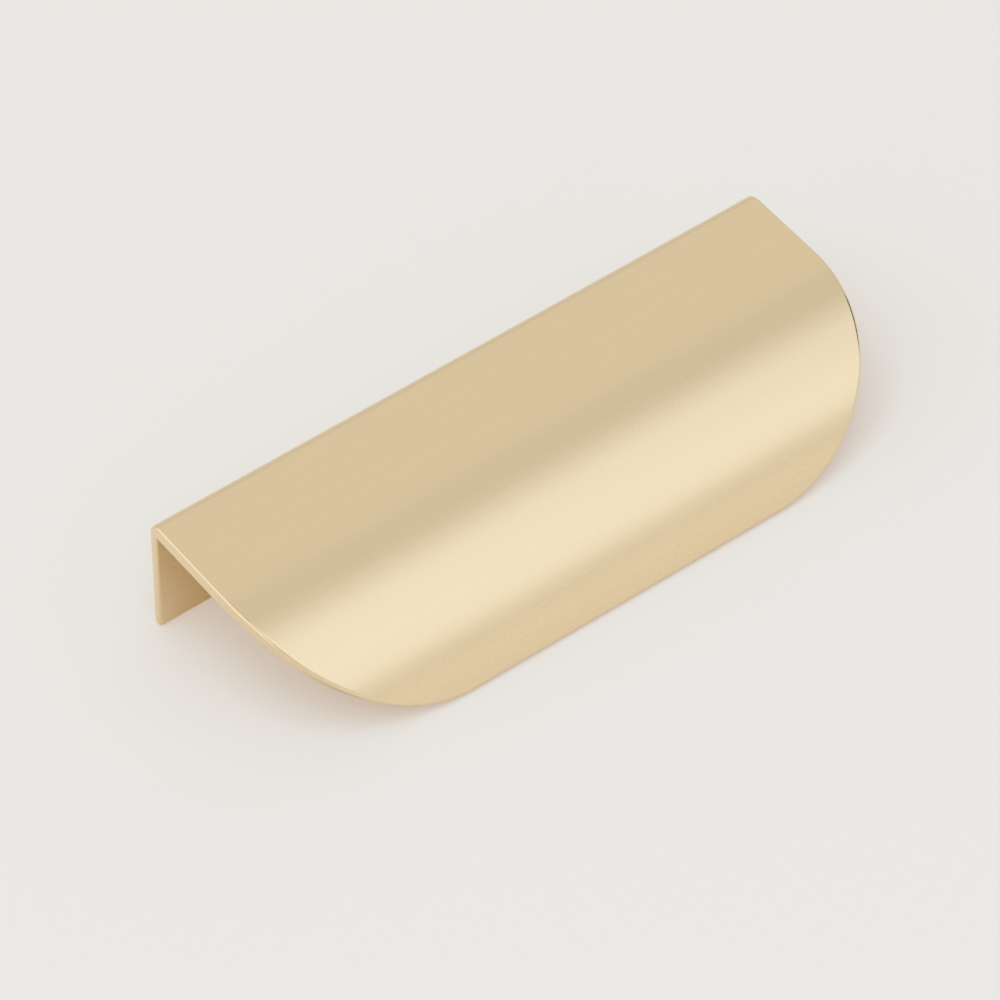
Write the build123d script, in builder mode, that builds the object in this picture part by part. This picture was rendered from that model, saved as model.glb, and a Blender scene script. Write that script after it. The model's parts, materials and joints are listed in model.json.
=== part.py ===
from build123d import *
import os

# Lip pull for a drawer or a cabinet door, formed as one piece of brass. A thin flange is screwed
# to the back of the front, a flat plate lies over its top edge, and a lip curls down ahead of it.
# The origin is midway between the two screw holes, on the face of the flange that meets the front.
# +X runs along the pull, -Y points at the user and +Z is up. Sizes are in millimetres and degrees.

# Plate and lip
length = 120.0
plate_thickness = 3.0
top_depth = 17.5  # flat top, from the back of the flange to the start of the curl
lip_radius = 31.0  # outside of the curl
lip_angle = 66.5  # turn of the curl
corner_width = 29.5  # from the end of the pull in to the straight part of the lip's tip

# Flange
flange_thickness = 1.5
overall_height = 25.0  # from the top of the plate down to the flange's foot
foot_corner = 0.8  # radius of the flange's two lower corners

# Bend between the plate and the flange
bend_radius = 3.0  # outside
seat_radius = 0.5  # inside, where the edge of the front sits

# Screw holes, sunk from the back of the flange
hole_spacing = 96.0
hole_height = 11.0  # above the flange's foot
hole_diameter = 4.2
sink_diameter = 6.0
sink_angle = 90.0

# Rounding of the cut edges, limited so that two fit across the thin flange and one fits round its corners
edge_round = 0.6
rim_round = min(edge_round, 0.45 * flange_thickness, 0.85 * foot_corner)

# Places in the section, as distances along Y and Z
foot = -hole_height
top = foot + overall_height
underside = top - plate_thickness
back = flange_thickness
curl_start = back - top_depth

# Plane through the chord of the curl, where the outline of the lip is drawn
with BuildLine(Plane.YZ):
    curl = JernArc((curl_start, top), (-1, 0), lip_radius, lip_angle)
chord = (curl @ 1) - (curl @ 0)
chord_plane = Plane(origin=curl @ 0, x_dir=(1, 0, 0), z_dir=Vector(1, 0, 0).cross(chord))
corner_centre = length / 2 - corner_width

# Outside of the lip, trimmed to corners that are quarter ellipses from the start of the curl to its tip
with BuildPart() as lip_form:
    with BuildSketch(chord_plane):
        with BuildLine():
            right = EllipticalCenterArc((corner_centre, 0), corner_width, chord.length, 0, arc_size=90)
            left = EllipticalCenterArc((-corner_centre, 0), corner_width, chord.length, 90, arc_size=90)
            Line(right @ 1, left @ 0)
            Line(left @ 1, right @ 0)
        make_face()
    extrude(amount=-lip_radius)
    with BuildSketch(Plane.YZ):
        with Locations((curl_start, top - lip_radius)):
            Circle(lip_radius)
    extrude(amount=length, both=True, mode=Mode.INTERSECT)
lip_outside = lip_form.faces().filter_by(GeomType.CYLINDER).sort_by(SortBy.AREA)[-1]

with BuildPart() as lip_pull:
    # Flange, bend and flat plate, as one section carried along the pull
    with BuildSketch(Plane.YZ) as section:
        with BuildLine():
            Polyline(
                (back, foot),
                (back, top),
                (curl_start, top),
                (curl_start, underside),
                (0, underside),
                (0, foot),
                close=True,
            )
        make_face()
        fillet(section.vertices().group_by(Axis.X)[1].sort_by(Axis.Y)[-1], seat_radius)
        fillet(section.vertices().group_by(Axis.X)[-1].sort_by(Axis.Y)[-1], bend_radius)
    extrude(amount=length / 2, both=True)
    fillet(lip_pull.edges().filter_by(Axis.Y).group_by(Axis.Z)[0], foot_corner)

    # Lip, cut square to its own outside all round
    thicken(lip_outside, -plate_thickness)

    # Both edges of the tip, from where the rounding runs on round the ends and the flange's foot
    tip = lip_pull.faces().filter_by(GeomType.PLANE).sort_by(Axis.Y)[0]
    fillet(tip.edges().filter_by(Axis.X), rim_round)

    # Screw holes
    with Locations(Plane(origin=(0, back, 0), x_dir=(1, 0, 0), z_dir=(0, 1, 0))):
        with GridLocations(hole_spacing, 0, 2, 1):
            CounterSinkHole(hole_diameter / 2, sink_diameter / 2, back, sink_angle)

lip_pull.part.label = "lip_pull"

os.makedirs("parts", exist_ok=True)
export_step(lip_pull.part, "parts/lip_pull.step")
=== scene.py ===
# Lip pull of satin brass for a drawer or a cabinet door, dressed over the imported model.
# Lengths are in metres and angles in radians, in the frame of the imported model: +X along the pull,
# -Y towards the user and +Z up out of the plate, with the origin between the two screw holes.
import json
from math import asin, atan2, cos, pi, radians, sin, tan

import bpy
import numpy as np
from bpy.props import FloatProperty, FloatVectorProperty, PointerProperty
from mathutils import Matrix, Vector


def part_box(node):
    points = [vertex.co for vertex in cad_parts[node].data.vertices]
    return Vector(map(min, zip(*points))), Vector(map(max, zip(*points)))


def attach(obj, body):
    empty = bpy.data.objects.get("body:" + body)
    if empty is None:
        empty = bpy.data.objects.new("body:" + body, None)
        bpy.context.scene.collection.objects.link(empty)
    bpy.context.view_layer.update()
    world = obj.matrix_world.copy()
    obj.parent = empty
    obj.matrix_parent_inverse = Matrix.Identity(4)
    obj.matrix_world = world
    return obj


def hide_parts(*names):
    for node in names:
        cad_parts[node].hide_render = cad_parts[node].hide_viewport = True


bl_info = {
    "name": "Lip Pull",
    "version": (1, 0, 0),
    "blender": (4, 5, 0),
    "location": "3D View > Sidebar > Lip Pull",
    "description": "Builds a lip pull of satin brass and the studio that shows it",
    "category": "Add Mesh",
}

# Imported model
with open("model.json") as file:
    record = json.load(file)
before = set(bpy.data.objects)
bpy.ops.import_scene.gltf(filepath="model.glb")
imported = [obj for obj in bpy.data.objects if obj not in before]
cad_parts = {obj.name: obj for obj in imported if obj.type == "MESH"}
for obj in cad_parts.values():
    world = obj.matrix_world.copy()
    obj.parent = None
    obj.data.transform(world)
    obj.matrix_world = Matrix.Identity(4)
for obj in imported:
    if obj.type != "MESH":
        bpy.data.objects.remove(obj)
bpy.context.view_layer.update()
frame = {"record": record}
NODE = "lip_pull"
BODY = "root"
SLOT = "satin_brass"
LOW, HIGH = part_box(NODE)
HOLES = next(m["dims"] for m in frame["record"]["mounts"] if m["name"] == "screw_holes")
MM = 0.001

# How finely the section is divided, from the flange's foot to the lip's tip
FOOT_CORNER_CELLS = 8
FOOT_TO_PATCH_CELLS = 3  # between the flange's lower corner and a hole's patch
FLANGE_SHARES = (0.3, 0.65, 0.95, 1.0)  # rows from a hole's patch up to the bend
BEND_CELLS = 20
FLAT_SHARES = (0.02, 0.25, 0.5, 0.75, 0.98, 1.0)  # rows of the flat plate
CURL_CELLS = 96

# How finely the width is divided
MIDDLE_CELLS = 32  # between the patches of the two holes
END_OFFSETS = (0.0, 0.12 * MM, 0.6 * MM)  # columns beside an end, as distances from it
END_SHARE = 0.35  # one more column, as a share of the way from an end to a hole's patch
COLUMN_DECIMALS = 9  # to which two columns count as one

# How finely the holes and the rim are divided
HOLE_RING = 6  # cells from the middle of a hole's patch to the hole's edge
HOLE_PATCH = 12  # cells from the middle of a hole's patch to the patch's edge
HOLE_PATCH_REACH = 2.8  # the same distance, in hole radii
ROUND_STEPS = 8  # in each of the rim's two quarter circles
WALL_SHARES = (0.12, 0.5, 0.88)  # rings of the square wall between them
SHARP_ANGLE = radians(35)

# Finish
RIM = "rim"  # attribute that is 1 on the rounded rim and 0 elsewhere
NOISE_MIDDLE = 0.5  # mean of the noise that draws the brush lines

# Tilts of the long soft lights from straight up, where the user's side is positive
BACK_TILTS = (radians(-60), radians(-18))
FRONT_TILTS = (radians(14), radians(62.4))
EDGE_TILTS = (radians(5), FRONT_TILTS[0])
FADE_TILTS = (FRONT_TILTS[1], radians(70))
LOW_TILTS = (radians(76), radians(83))

# Places and sizes in the studio
STUDIO_RADIUS = 1.5  # from the X axis to the middle of a long soft light
LONG_BOX_X = 0.6
LONG_BOX_WIDTH = 2.6
KEY_PLACE = (-2.375, -1.375, 7.0)
KEY_SIZE = (7.0, 7.0)
LEFT_PLACE = (-1.2, 0.75, 0.55)
LEFT_AIM = (0, 0.75, 0.55)
LEFT_SIZE = (2.6, 1.3)
CARD_CORNERS = ((0.84, -0.57, 0.38), (0.84, -0.57, 1.00), (1.0, -0.04, 1.15), (1.0, -0.04, 0.38))
FLOOR_REACH = 3.0


def length(name, description, default):
    """A length that the user can change."""
    return FloatProperty(
        name=name,
        description=description,
        default=default,
        min=0,
        precision=5,
        unit="LENGTH",
    )


def angle(name, description, default):
    """An angle that the user can change."""
    return FloatProperty(name=name, description=description, default=default, subtype="ANGLE")


def number(name, description, default):
    """A plain number that the user can change."""
    return FloatProperty(name=name, description=description, default=default, min=0, precision=4)


def colour(name, description, default):
    """A colour that the user can change, as linear red, green and blue."""
    return FloatVectorProperty(
        name=name,
        description=description,
        default=default,
        size=3,
        min=0,
        max=1,
        subtype="COLOR",
    )


class PullShape(bpy.types.PropertyGroup):
    """Sizes of the pull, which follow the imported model."""

    pull_length: length("Length", "Length of the pull", HIGH.x - LOW.x)
    plate_thickness: length("Plate thickness", "Thickness of the plate and the lip", 3.0 * MM)
    top_depth: length("Top depth", "From the back of the flange to the start of the curl", 17.5 * MM)
    lip_radius: length("Lip radius", "Radius of the outside of the curl", 31.0 * MM)
    lip_angle: angle("Lip angle", "Turn of the curl", radians(66.5))
    corner_width: length("Corner width", "From an end of the pull to the tip's straight part", 29.5 * MM)
    flange_thickness: length("Flange thickness", "Thickness of the flange", HIGH.y)
    overall_height: length("Overall height", "From the flange's foot to the plate's top", HIGH.z - LOW.z)
    foot_corner: length("Foot corner", "Radius of the flange's lower corners", 0.8 * MM)
    bend_radius: length("Bend radius", "Radius of the outside of the bend", 3.0 * MM)
    seat_radius: length("Seat radius", "Radius of the inside of the bend", 0.5 * MM)
    edge_round: length("Edge rounding", "Radius of the rounded rim", 0.6 * MM)
    hole_spacing: length("Hole spacing", "Distance between the two screw holes", HOLES["spacing_x_mm"] * MM)
    hole_radius: length("Hole radius", "Radius of a screw hole", HOLES["hole_r_mm"] * MM)
    hole_height: length("Hole height", "From the flange's foot to the middle of a hole", -LOW.z)
    sink_radius: length("Sink radius", "Radius of the sink for a screw's head", 3.0 * MM)
    sink_angle: angle("Sink angle", "Full angle of the sink's cone", radians(90))


class BrassFinish(bpy.types.PropertyGroup):
    """Finish of the brass."""

    brass: colour("Brass", "Colour of the brushed brass", (0.855, 0.703, 0.475))
    brass_deep: colour("Deep brass", "Colour at the bottom of the brush lines", (0.825, 0.677, 0.455))
    roughness: number("Roughness", "Roughness of the brushed surface", 0.27)
    rim_roughness: number("Rim roughness", "Roughness of the rounded rim, which is smoother", 0.14)
    roughness_spread: number("Roughness spread", "How much the brush lines change the roughness", 0.05)
    line_width: length("Line width", "Distance from one brush line to the next", 0.3 * MM)
    line_length: length("Line length", "How far a brush line runs along the pull", 14.0 * MM)
    line_depth: length("Line depth", "Depth of the brush lines", 0.00015 * MM)


class StudioStage(bpy.types.PropertyGroup):
    """Floor, lights and camera."""

    floor_colour: colour("Floor", "Colour of the floor and of the backdrop", (0.824, 0.816, 0.795))
    # Painted glow: the floor emits this warm colour, which lightens and warms its shadows.
    painted_floor_glow: colour("Floor shade", "Colour that is left in the deepest shadow", (0.475, 0.345, 0.255))
    # Painted reflection: the pull's reflections and bounced light see a copy of the floor that is brighter
    # in full light, and whose painted orange glow gives it deeper, warmer shadows.
    painted_reflection_floor: colour("Bounce", "Colour of the floor in the pull's reflections", (0.865, 0.84, 0.80))
    painted_reflection_glow: colour("Bounce shade", "The same, in the deepest shadow", (0.255, 0.135, 0.025))
    floor_gain: number("Floor gain", "Share of the way from shade to full colour per unit of light", 0.675)
    dome: colour("Dome", "Even light from all round", (0.735, 0.715, 0.675))
    front_light: colour("Front light", "Large soft light ahead of the pull", (0.355, 0.415, 0.50))
    edge_light: colour("Edge light", "Strip along the front light's upper edge", (0.17, 0.20, 0.245))
    fade_light: colour("Fade light", "Strip along the front light's lower edge", (0.11, 0.12, 0.13))
    low_light: colour("Low light", "Low soft light ahead of the pull", (0.22, 0.19, 0.16))
    key_light: number("Key light", "Brightness of a soft light above that only the floor shows", 3.2)
    back_light: colour("Back light", "Soft light behind the pull", (0.09, 0.08, 0.07))
    left_light: colour("Left light", "Soft light at the left end", (0.44, 0.425, 0.40))
    card_colour: colour("Dark card", "Colour of the card that the right rim reflects", (0.03, 0.03, 0.03))
    azimuth: angle("Azimuth", "Turn of the camera round the pull", radians(-37.309))
    elevation: angle("Elevation", "Height of the camera above the plate's level", radians(48.991))
    roll: angle("Roll", "Turn of the camera about its own axis", radians(0.355))
    distance: length("Distance", "From the camera to the point that it looks at", 960.978 * MM)
    aim: FloatVectorProperty(
        name="Aim",
        description="Point that the camera looks at",
        default=(-7.224 * MM, -19.953 * MM, 2.012 * MM),
        size=3,
        subtype="TRANSLATION",
        unit="LENGTH",
    )
    lens: number("Lens", "Focal length in millimetres on a sensor 36 mm wide", 216.898)


class Socket:
    """An output socket in a node tree, so that shader maths reads as a Python expression."""

    def __init__(self, tree, output=None):
        self.tree = tree
        self.output = output

    def node(self, kind, settings=None, inputs=None, output=0):
        """Adds a node, sets its settings, then fills or links its inputs, and wraps one of its outputs."""
        made = self.tree.nodes.new(kind)
        for key, value in (settings or {}).items():
            setattr(made, key, value)
        for key, value in (inputs or {}).items():
            if isinstance(value, Socket):
                self.tree.links.new(value.output, made.inputs[key])
            else:
                made.inputs[key].default_value = value
        return Socket(self.tree, made.outputs[output] if made.outputs else None)

    def math(self, operation, first, second):
        """Adds a Math node for two values."""
        return self.node("ShaderNodeMath", {"operation": operation}, {0: first, 1: second})

    def __add__(self, other):
        return self.math("ADD", self, other)

    def __radd__(self, other):
        return self.math("ADD", other, self)

    def __sub__(self, other):
        return self.math("SUBTRACT", self, other)

    def __rsub__(self, other):
        return self.math("SUBTRACT", other, self)

    def __mul__(self, other):
        return self.math("MULTIPLY", self, other)

    def __rmul__(self, other):
        return self.math("MULTIPLY", other, self)


def glide(points, headings, curvature, distance):
    """Moves points of the section along an arc, or along a line where the curvature is 0.

    The chord of the arc is the distance times sin(h) / h, where h is half the turn, and it points
    halfway through the turn. A heading is the turn from +Z towards -Y. Gives the new points and headings.
    """
    half_turn = np.asarray(curvature * distance / 2)
    chord = distance * np.sinc(half_turn / pi)
    direction = headings + half_turn
    step = np.stack([-np.sin(direction), np.cos(direction)], axis=-1)
    return points + chord[..., None] * step, direction + half_turn


def patch_cells():
    """Grid lines of the square patch round a hole, in hole radii from the hole's middle."""
    return np.linspace(-HOLE_PATCH_REACH, HOLE_PATCH_REACH, 2 * HOLE_PATCH + 1)


def sheet_rows(shape, inside):
    """Rows of one side of the sheet, from the flange's foot up, round the bend and down to the tip.

    The section is a chain of four runs, each a line or an arc: flange, bend, flat plate and curl. A row
    holds its point (Y, Z) and heading, the curvature there, half the width of the outline, and the
    outline's normal, split into its parts along the section and along X.
    """
    if inside:
        start = np.array([0.0, -shape.hole_height])
        bend = shape.seat_radius
        flange = shape.overall_height - shape.plate_thickness - bend
        flat = shape.top_depth - shape.flange_thickness - bend
        curl = shape.lip_radius - shape.plate_thickness
    else:
        start = np.array([shape.flange_thickness, -shape.hole_height])
        bend = shape.bend_radius
        flange = shape.overall_height - bend
        flat = shape.top_depth - bend
        curl = shape.lip_radius

    # Rows of the flange, whose lower corners are quarter circles
    foot_turn = np.linspace(pi / 2, 0, FOOT_CORNER_CELLS + 1)
    foot = shape.foot_corner * (1 - np.sin(foot_turn))
    patch = shape.hole_height + shape.hole_radius * patch_cells()
    low = np.linspace(foot[-1], patch[0], FOOT_TO_PATCH_CELLS + 1)[1:-1]
    high = patch[-1] + (flange - patch[-1]) * np.array(FLANGE_SHARES)
    flange_rows = np.concatenate([foot, low, patch, high])

    # Rows of the curl, whose corners are quarter ellipses on the plane through its chord. Seen square to
    # that plane, a turn t of the ellipse is at 2 sin(b) sin(t) radii along the chord, where b is half
    # the curl.
    half_curl = shape.lip_angle / 2
    corner_turn = np.linspace(0, pi / 2, CURL_CELLS + 1)[1:]
    rise = sin(half_curl) * (2 * np.sin(corner_turn) - 1)
    curl_turn = half_curl + np.arcsin(rise)
    curl_rate = 2 * sin(half_curl) * np.cos(corner_turn) / np.sqrt(1 - rise**2)

    # Section, run by run: curvature, length, and the distances of the rows from the start of the run
    runs = (
        (0.0, flange, flange_rows),
        (1 / bend, bend * pi / 2, bend * np.linspace(0, pi / 2, BEND_CELLS + 1)[1:]),
        (0.0, flat, flat * np.array(FLAT_SHARES)),
        (1 / curl, curl * shape.lip_angle, curl * curl_turn),
    )
    heading = 0.0
    points, headings, curvatures = [], [], []
    for curvature, run_length, distances in runs:
        run_points, run_headings = glide(start, heading, curvature, distances)
        points.append(run_points)
        headings.append(run_headings)
        curvatures.append(np.full(len(distances), curvature))
        start, heading = glide(start, heading, curvature, np.asarray(run_length))
    rows = {
        "point": np.concatenate(points),
        "heading": np.concatenate(headings),
        "curvature": np.concatenate(curvatures),
        "facing": -1.0 if inside else 1.0,
    }

    # Outline, which is straight apart from the corners of the foot and of the lip
    count = len(rows["heading"])
    half = shape.pull_length / 2
    rows["half_width"] = np.full(count, half)
    rows["along"] = np.zeros(count)
    rows["across"] = np.ones(count)
    corner = slice(0, len(foot))
    rows["half_width"][corner] = half - shape.foot_corner * (1 - np.cos(foot_turn))
    rows["along"][corner] = -np.sin(foot_turn)
    rows["across"][corner] = np.cos(foot_turn)
    corner = slice(count - CURL_CELLS, count)
    rows["half_width"][corner] = half - shape.corner_width * (1 - np.cos(corner_turn))
    along = shape.corner_width * np.sin(corner_turn)
    across = curl * curl_rate
    rows["along"][corner] = along / np.hypot(along, across)
    rows["across"][corner] = across / np.hypot(along, across)
    return rows


def sheet_columns(shape):
    """Grid lines along X, as shares of half the width, close together at the holes and at the ends."""
    half = shape.pull_length / 2 - shape.edge_round
    patch = shape.hole_spacing / 2 + shape.hole_radius * patch_cells()
    middle = np.linspace(-patch[0], patch[0], MIDDLE_CELLS + 1)
    end = half - np.array([*END_OFFSETS, END_SHARE * (half - patch[-1])])
    right = np.concatenate([patch, end])
    columns = np.concatenate([-right, middle[1:-1], right])
    return np.unique(columns.round(COLUMN_DECIMALS)) / half


def sheet_points(rows, row, share, inset, depth):
    """Points of an outline that is drawn in by the inset, on the surface the depth below one side.

    The outline's point is moved along the section and along X against its normal, and then square to
    the surface, into the metal. The share runs from -1 at the left end of a row to 1 at its right end.
    """
    point, heading = glide(
        rows["point"][row],
        rows["heading"][row],
        rows["curvature"][row],
        -inset * rows["along"][row],
    )
    normal = rows["facing"] * np.stack([np.cos(heading), np.sin(heading)], axis=-1)
    section = point - np.asarray(depth)[..., None] * normal
    x = share * (rows["half_width"][row] - inset * rows["across"][row])
    return np.concatenate([x[..., None], section], axis=-1)


def open_hole(points, middle_row, middle_column, middle, radius):
    """Opens a round hole in a flat patch of a grid.

    A point of the patch sits at a distance m from the middle, counted in cells along the longer of its
    two offsets. From the hole's edge to the patch's edge, the points at one m go from a circle to a
    square in a straight line.
    """
    cells = np.arange(-HOLE_PATCH, HOLE_PATCH + 1)
    up, over = np.meshgrid(cells, cells, indexing="ij")
    m = np.maximum(np.maximum(abs(up), abs(over)), 1)
    on_side = abs(over) >= abs(up)
    lesser = np.where(on_side, up, over) / m * pi / 4
    greater = np.where(on_side, np.sign(over), np.sign(up))
    circle_over = np.where(on_side, greater * np.cos(lesser), np.sin(lesser)) * radius
    circle_up = np.where(on_side, np.sin(lesser), greater * np.cos(lesser)) * radius
    share = np.clip((m - HOLE_RING) / (HOLE_PATCH - HOLE_RING), 0, 1)
    window = (
        slice(middle_row - HOLE_PATCH, middle_row + HOLE_PATCH + 1),
        slice(middle_column - HOLE_PATCH, middle_column + HOLE_PATCH + 1),
    )
    corner = points[window][-1, -1] - middle
    square_over = over / m * corner[0]
    square_up = up / m * corner[2]
    points[window][..., 0] = middle[0] + (1 - share) * circle_over + share * square_over
    points[window][..., 2] = middle[2] + (1 - share) * circle_up + share * square_up


def border(first_row, last_row, first_column, last_column):
    """Rows and columns of the grid points round a block, along its first row first."""
    rows = np.arange(first_row, last_row)
    columns = np.arange(first_column, last_column)
    row = np.concatenate(
        [np.full(len(columns), first_row), rows, np.full(len(columns), last_row), rows[::-1] + 1]
    )
    column = np.concatenate(
        [columns, np.full(len(rows), last_column), columns[::-1] + 1, np.full(len(rows), first_column)]
    )
    return row, column


def strip(rings):
    """Four-sided faces between each closed ring of points and the next."""
    near, far = rings[:-1], rings[1:]
    faces = np.stack([near, np.roll(near, -1, axis=1), np.roll(far, -1, axis=1), far], axis=-1)
    return faces.reshape(-1, 4)


def rim_rings(shape, outside, inside, row, share):
    """Rings of points round the rim, from the outside of the sheet to its inside.

    They carry a profile round the outline: a quarter circle off the outside, the square wall, and a
    quarter circle to the inside. At a turn t, a quarter circle of radius r is r (1 - sin(t)) in from the
    outline and r (1 - cos(t)) below the surface.
    """
    turn = np.linspace(0, pi / 2, ROUND_STEPS + 1)[1:, None]
    inset = shape.edge_round * (1 - np.sin(turn))
    depth = shape.edge_round * (1 - np.cos(turn))
    outer = sheet_points(outside, row, share, inset, depth)
    inner = sheet_points(inside, row, share, inset, depth)[::-1]
    wall = outer[-1] + np.array(WALL_SHARES)[:, None, None] * (inner[0] - outer[-1])
    return np.concatenate([outer, wall, inner])


def pull_surface(shape):
    """Points and faces of the whole pull, and an array that is 1 for the points of its rim and else 0.

    Each side of the sheet is a grid, rows along the section by shares of the width, with two holes
    opened in it. Rings of points join the two grids round the rim, and one more ring in each hole.
    """
    shares = sheet_columns(shape)
    outside = sheet_rows(shape, inside=False)
    inside = sheet_rows(shape, inside=True)
    count = len(outside["heading"])
    row, column = np.meshgrid(np.arange(count), np.arange(len(shares)), indexing="ij")
    grids = [sheet_points(side, row, shares[column], shape.edge_round, 0.0) for side in (outside, inside)]

    # Screw holes
    middle_row = FOOT_CORNER_CELLS + FOOT_TO_PATCH_CELLS + HOLE_PATCH
    hole_share = shape.hole_spacing / 2 / (shape.pull_length / 2 - shape.edge_round)
    solid = np.ones((count - 1, len(shares) - 1), bool)
    hole_borders = []
    for end in (-1, 1):
        middle_column = int(np.argmin(abs(shares - end * hole_share)))
        middle = np.array([end * shape.hole_spacing / 2, 0.0, 0.0])
        open_hole(grids[0], middle_row, middle_column, middle, shape.sink_radius)
        open_hole(grids[1], middle_row, middle_column, middle, shape.hole_radius)
        first_row, last_row = middle_row - HOLE_RING, middle_row + HOLE_RING
        first_column, last_column = middle_column - HOLE_RING, middle_column + HOLE_RING
        solid[first_row:last_row, first_column:last_column] = False
        hole_borders.append(border(first_row, last_row, first_column, last_column))

    ids = np.arange(row.size).reshape(row.shape)
    quads = np.stack([ids[:-1, :-1], ids[1:, :-1], ids[1:, 1:], ids[:-1, 1:]], axis=-1)[solid]
    points = [grid.reshape(-1, 3) for grid in grids]
    faces = [quads, quads[:, ::-1] + row.size]

    # Rim
    rim_row, rim_column = border(0, count - 1, 0, len(shares) - 1)
    rings = rim_rings(shape, outside, inside, rim_row, shares[rim_column])
    rim_first = 2 * row.size
    rim_ids = rim_first + np.arange(rings.shape[0] * rings.shape[1]).reshape(rings.shape[:2])
    edge_ids = ids[rim_row, rim_column]
    points.append(rings.reshape(-1, 3))
    faces.append(strip(np.concatenate([edge_ids[None], rim_ids, edge_ids[None] + row.size])))
    rim_end = rim_first + rim_ids.size

    # Walls of the holes: a cone from the back of the flange, then a short bore
    sink_depth = (shape.sink_radius - shape.hole_radius) / tan(shape.sink_angle / 2)
    first = rim_end
    for hole_row, hole_column in hole_borders:
        bore = grids[1][hole_row, hole_column].copy()
        bore[:, 1] = shape.flange_thickness - sink_depth
        hole_ids = ids[hole_row, hole_column]
        points.append(bore)
        walls = np.stack([hole_ids, first + np.arange(len(bore)), hole_ids + row.size])
        faces.append(strip(walls)[:, ::-1])
        first += len(bore)

    # Grid points inside the holes belong to no face
    used, faces = np.unique(np.concatenate(faces), return_inverse=True)
    on_rim = (used >= rim_first) & (used < rim_end)
    return np.concatenate(points)[used], faces.reshape(-1, 4), on_rim.astype(np.float32)


def add_mesh(name, points, faces):
    """Puts points and faces into a smooth mesh, and the mesh into the scene."""
    mesh = bpy.data.meshes.new(name)
    mesh.from_pydata(points.tolist(), [], faces.tolist())
    mesh.shade_smooth()
    mesh.set_sharp_from_angle(angle=SHARP_ANGLE)
    mesh.update()
    made = bpy.data.objects.new(name, mesh)
    bpy.context.scene.collection.objects.link(made)
    return made


def new_material(name):
    """An empty material, and a socket to start its nodes from."""
    material = bpy.data.materials.new(name)
    material.use_nodes = True
    material.node_tree.nodes.clear()
    return material, Socket(material.node_tree)


def satin_brass(finish):
    """Brass with brush lines along the pull, fine noise that is drawn out along X, and a smoother rim."""
    material, start = new_material(SLOT)
    place = start.node("ShaderNodeTexCoord", output="Object")
    stretch = (1 / finish.line_length, 1 / finish.line_width, 1 / finish.line_width)
    lines_at = start.node("ShaderNodeMapping", inputs={"Vector": place, "Scale": stretch})
    lines = start.node("ShaderNodeTexNoise", inputs={"Vector": lines_at, "Scale": 1.0, "Detail": 1.0})
    tint = start.node(
        "ShaderNodeMix",
        {"data_type": "RGBA"},
        {"Factor": lines, 6: (*finish.brass_deep, 1), 7: (*finish.brass, 1)},
        output=2,
    )
    brushed = finish.roughness + finish.roughness_spread * (lines - NOISE_MIDDLE)
    rim = start.node("ShaderNodeAttribute", {"attribute_name": RIM}, output="Fac")
    roughness = brushed + rim * (finish.rim_roughness - brushed)
    bump = start.node(
        "ShaderNodeBump",
        inputs={"Strength": 1.0, "Distance": finish.line_depth, "Height": lines},
    )
    surface = start.node(
        "ShaderNodeBsdfPrincipled",
        inputs={"Base Color": tint, "Metallic": 1.0, "Roughness": roughness, "Normal": bump},
    )
    start.node("ShaderNodeOutputMaterial", inputs={"Surface": surface})
    return material


def pale_floor(stage):
    """Matt paper that glows with its shade colour, which is painted warm light that lightens its shadows,
    and which the camera sees through from below.

    The camera sees one such paper. The pull's reflections and the light bounced off the floor see a
    painted copy that is brighter in full light, with deeper and more orange shadows.
    """
    material, start = new_material("pale_floor")
    papers = []
    for full, shade in ((stage.painted_reflection_floor, stage.painted_reflection_glow), (stage.floor_colour, stage.painted_floor_glow)):
        lit = [stage.floor_gain * (light - dark) for light, dark in zip(full, shade)]
        paper = start.node("ShaderNodeBsdfDiffuse", inputs={"Color": (*lit, 1)})
        # Each paper glows with its shade colour, a painted light that lightens and tints its shadows.
        glow = start.node("ShaderNodeEmission", inputs={"Color": (*shade, 1)})
        papers.append(start.node("ShaderNodeAddShader", inputs={0: paper, 1: glow}))
    clear = start.node("ShaderNodeBsdfTransparent")
    from_below = start.node("ShaderNodeNewGeometry", output="Backfacing")
    camera_ray = start.node("ShaderNodeLightPath", output="Is Camera Ray")
    # Camera rays see the floor's own paper; the pull's reflections and bounced light see its painted copy.
    seen = start.node("ShaderNodeMixShader", inputs={0: camera_ray, 1: papers[0], 2: papers[1]})
    surface = start.node("ShaderNodeMixShader", inputs={0: from_below * camera_ray, 1: seen, 2: clear})
    start.node("ShaderNodeOutputMaterial", inputs={"Surface": surface})
    return material


def dark_card(stage):
    """Matt dark card."""
    material, start = new_material("dark_card")
    surface = start.node("ShaderNodeBsdfDiffuse", inputs={"Color": (*stage.card_colour, 1)})
    start.node("ShaderNodeOutputMaterial", inputs={"Surface": surface})
    return material


def add_softbox(name, centre, aim, size, brightness):
    """A rectangular soft light at a point, turned to another, whose face has the given brightness."""
    width, height = size
    light = bpy.data.lights.new(name, "AREA")
    light.shape = "RECTANGLE"
    light.size = width
    light.size_y = height
    light.color = brightness
    light.energy = pi * width * height
    made = bpy.data.objects.new(name, light)
    made.location = centre
    made.rotation_euler = (Vector(aim) - Vector(centre)).to_track_quat("-Z", "Y").to_euler()
    made.visible_camera = False
    bpy.context.scene.collection.objects.link(made)
    return made


def add_long_softbox(name, tilts, brightness):
    """A long soft light along X, between two tilts from straight up, square to the X axis."""
    first_tilt, last_tilt = tilts
    tilt = (first_tilt + last_tilt) / 2
    height = 2 * STUDIO_RADIUS * tan((last_tilt - first_tilt) / 2)
    centre = Vector((LONG_BOX_X, -STUDIO_RADIUS * sin(tilt), STUDIO_RADIUS * cos(tilt)))
    return add_softbox(name, centre, (LONG_BOX_X, 0, 0), (LONG_BOX_WIDTH, height), brightness)


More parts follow.
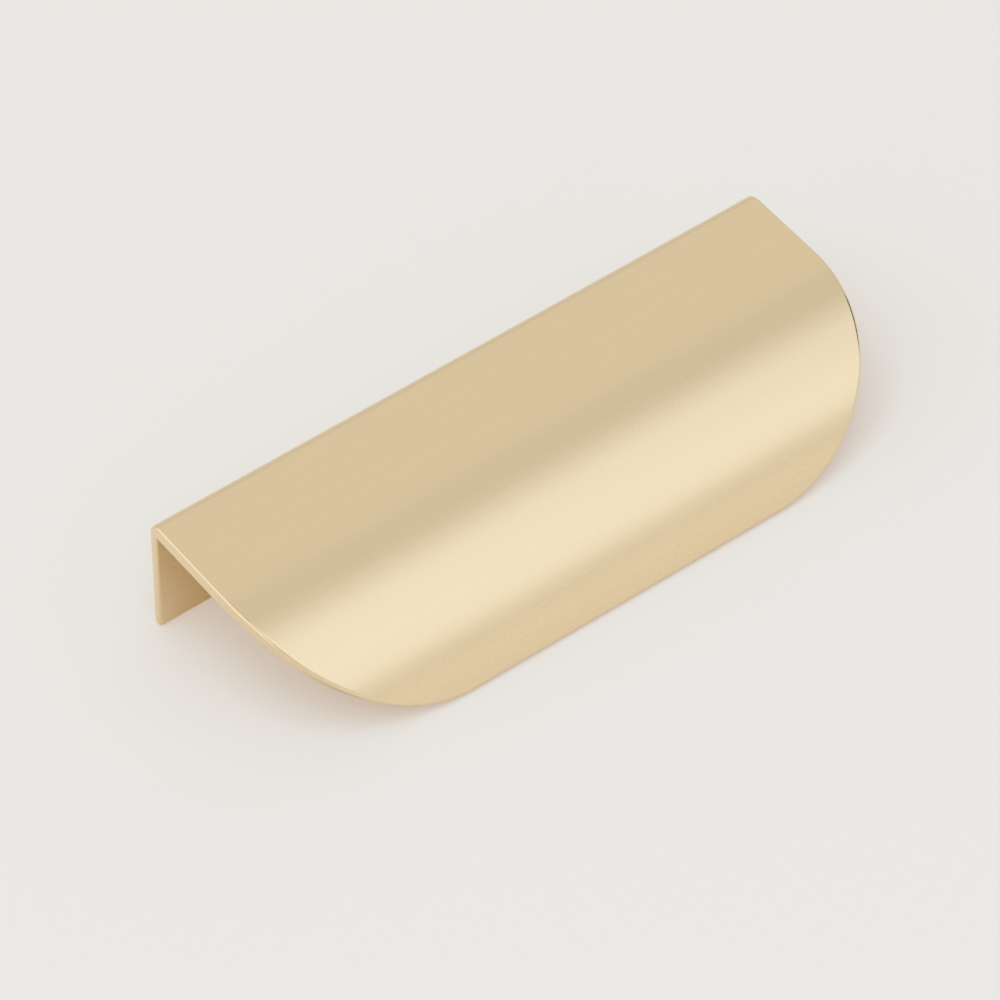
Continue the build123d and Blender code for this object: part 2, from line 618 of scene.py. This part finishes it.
class LIPPULL_OT_pull(bpy.types.Operator):
    """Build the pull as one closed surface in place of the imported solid"""

    bl_idname = "lip_pull.add_pull"
    bl_label = "Add Lip Pull"

    def execute(self, context):
        points, faces, on_rim = pull_surface(context.scene.lip_pull_shape)
        pull = add_mesh("brushed_pull", points, faces)
        pull.data.attributes.new(RIM, "FLOAT", "POINT").data.foreach_set("value", on_rim)
        pull.data.materials.append(satin_brass(context.scene.lip_pull_finish))
        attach(pull, BODY)
        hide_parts(NODE)
        return {"FINISHED"}


class LIPPULL_OT_stage(bpy.types.Operator):
    """Add the floor that the pull rests on, the lights and the camera"""

    bl_idname = "lip_pull.add_stage"
    bl_label = "Add Studio"

    def execute(self, context):
        shape = context.scene.lip_pull_shape
        stage = context.scene.lip_pull_stage
        self.add_floor(shape, stage)
        self.add_dark_card(stage)
        self.add_dome(context.scene, stage)
        self.add_lights(stage)
        self.add_camera(context.scene, stage)
        context.scene.view_settings.view_transform = "Standard"
        return {"FINISHED"}

    def add_floor(self, shape, stage):
        """A floor under the rounded edges of the flange's foot and of the lip's tip, which touch it."""
        rounding = shape.edge_round
        foot = np.array([rounding, rounding - shape.hole_height])
        bore = shape.lip_radius - shape.plate_thickness + rounding
        turn = shape.lip_angle - asin(rounding / bore)
        axis_y = shape.flange_thickness - shape.top_depth
        axis_z = shape.overall_height - shape.hole_height - shape.lip_radius
        tip = np.array([axis_y - bore * sin(turn), axis_z + bore * cos(turn)])
        tilt = atan2(tip[1] - foot[1], foot[0] - tip[0])
        along = np.array([-cos(tilt), sin(tilt)])
        middle = foot - rounding * np.array([sin(tilt), cos(tilt)])
        x, run = np.meshgrid([FLOOR_REACH, -FLOOR_REACH], [-FLOOR_REACH, FLOOR_REACH], indexing="ij")
        section = middle + run[..., None] * along
        points = np.concatenate([x[..., None], section], axis=-1).reshape(-1, 3)
        floor = add_mesh("floor", points, np.array([[0, 2, 3, 1]]))
        floor.data.materials.append(pale_floor(stage))

    def add_dark_card(self, stage):
        """A dark card that stands at the right, which the camera doesn't see but the rim reflects."""
        card = add_mesh("dark_card", np.array(CARD_CORNERS), np.array([[0, 1, 2, 3]]))
        card.data.materials.append(dark_card(stage))
        card.visible_camera = False

    def add_dome(self, scene, stage):
        """An even dome of light, which the camera sees as a backdrop of the floor's colour."""
        world = bpy.data.worlds.new("studio_dome")
        world.use_nodes = True
        world.node_tree.nodes.clear()
        start = Socket(world.node_tree)
        camera_ray = start.node("ShaderNodeLightPath", output="Is Camera Ray")
        dome = start.node("ShaderNodeBackground", inputs={"Color": (*stage.dome, 1)})
        backdrop = start.node("ShaderNodeBackground", inputs={"Color": (*stage.floor_colour, 1)})
        surface = start.node("ShaderNodeMixShader", inputs={0: camera_ray, 1: dome, 2: backdrop})
        start.node("ShaderNodeOutputWorld", inputs={"Surface": surface})
        scene.world = world

    def add_lights(self, stage):
        """Long soft lights ahead of the pull and behind it, one above for the floor and one at the left."""
        long_lights = (
            ("back_softbox", BACK_TILTS, stage.back_light),
            ("edge_softbox", EDGE_TILTS, stage.edge_light),
            ("front_softbox", FRONT_TILTS, stage.front_light),
            ("fade_softbox", FADE_TILTS, stage.fade_light),
            ("low_softbox", LOW_TILTS, stage.low_light),
        )
        for name, tilts, brightness in long_lights:
            add_long_softbox(name, tilts, brightness)
        key = add_softbox("floor_softbox", KEY_PLACE, (0, 0, 0), KEY_SIZE, 3 * (stage.key_light,))
        key.visible_glossy = False
        add_softbox("left_softbox", LEFT_PLACE, LEFT_AIM, LEFT_SIZE, stage.left_light)

    def add_camera(self, scene, stage):
        """A camera at the photograph's angle."""
        data = bpy.data.cameras.new("camera")
        data.lens = stage.lens
        camera = bpy.data.objects.new("camera", data)
        turn = Matrix.Rotation(stage.azimuth, 4, "Z") @ Matrix.Rotation(pi / 2 - stage.elevation, 4, "X")
        away = turn @ Vector((0, 0, stage.distance))
        camera.matrix_world = (
            Matrix.Translation(Vector(stage.aim) + away) @ turn @ Matrix.Rotation(stage.roll, 4, "Z")
        )
        scene.collection.objects.link(camera)
        scene.camera = camera


class LIPPULL_PT_panel(bpy.types.Panel):
    """Lists the operators and what they build from"""

    bl_label = "Lip Pull"
    bl_idname = "LIPPULL_PT_panel"
    bl_space_type = "VIEW_3D"
    bl_region_type = "UI"
    bl_category = "Lip Pull"

    def draw(self, context):
        scene = context.scene
        steps = (
            (scene.lip_pull_shape, None),
            (scene.lip_pull_finish, LIPPULL_OT_pull),
            (scene.lip_pull_stage, LIPPULL_OT_stage),
        )
        for group, operator in steps:
            for name in group.bl_rna.properties.keys():
                if name not in {"rna_type", "name"}:
                    self.layout.prop(group, name)
            if operator:
                self.layout.operator(operator.bl_idname)


CLASSES = (PullShape, BrassFinish, StudioStage, LIPPULL_OT_pull, LIPPULL_OT_stage, LIPPULL_PT_panel)


def register():
    for cls in CLASSES:
        bpy.utils.register_class(cls)
    bpy.types.Scene.lip_pull_shape = PointerProperty(type=PullShape)
    bpy.types.Scene.lip_pull_finish = PointerProperty(type=BrassFinish)
    bpy.types.Scene.lip_pull_stage = PointerProperty(type=StudioStage)


def unregister():
    del bpy.types.Scene.lip_pull_stage
    del bpy.types.Scene.lip_pull_finish
    del bpy.types.Scene.lip_pull_shape
    for cls in reversed(CLASSES):
        bpy.utils.unregister_class(cls)


def main():
    register()
    bpy.ops.lip_pull.add_pull()
    bpy.ops.lip_pull.add_stage()


if __name__ == "__main__":
    main()
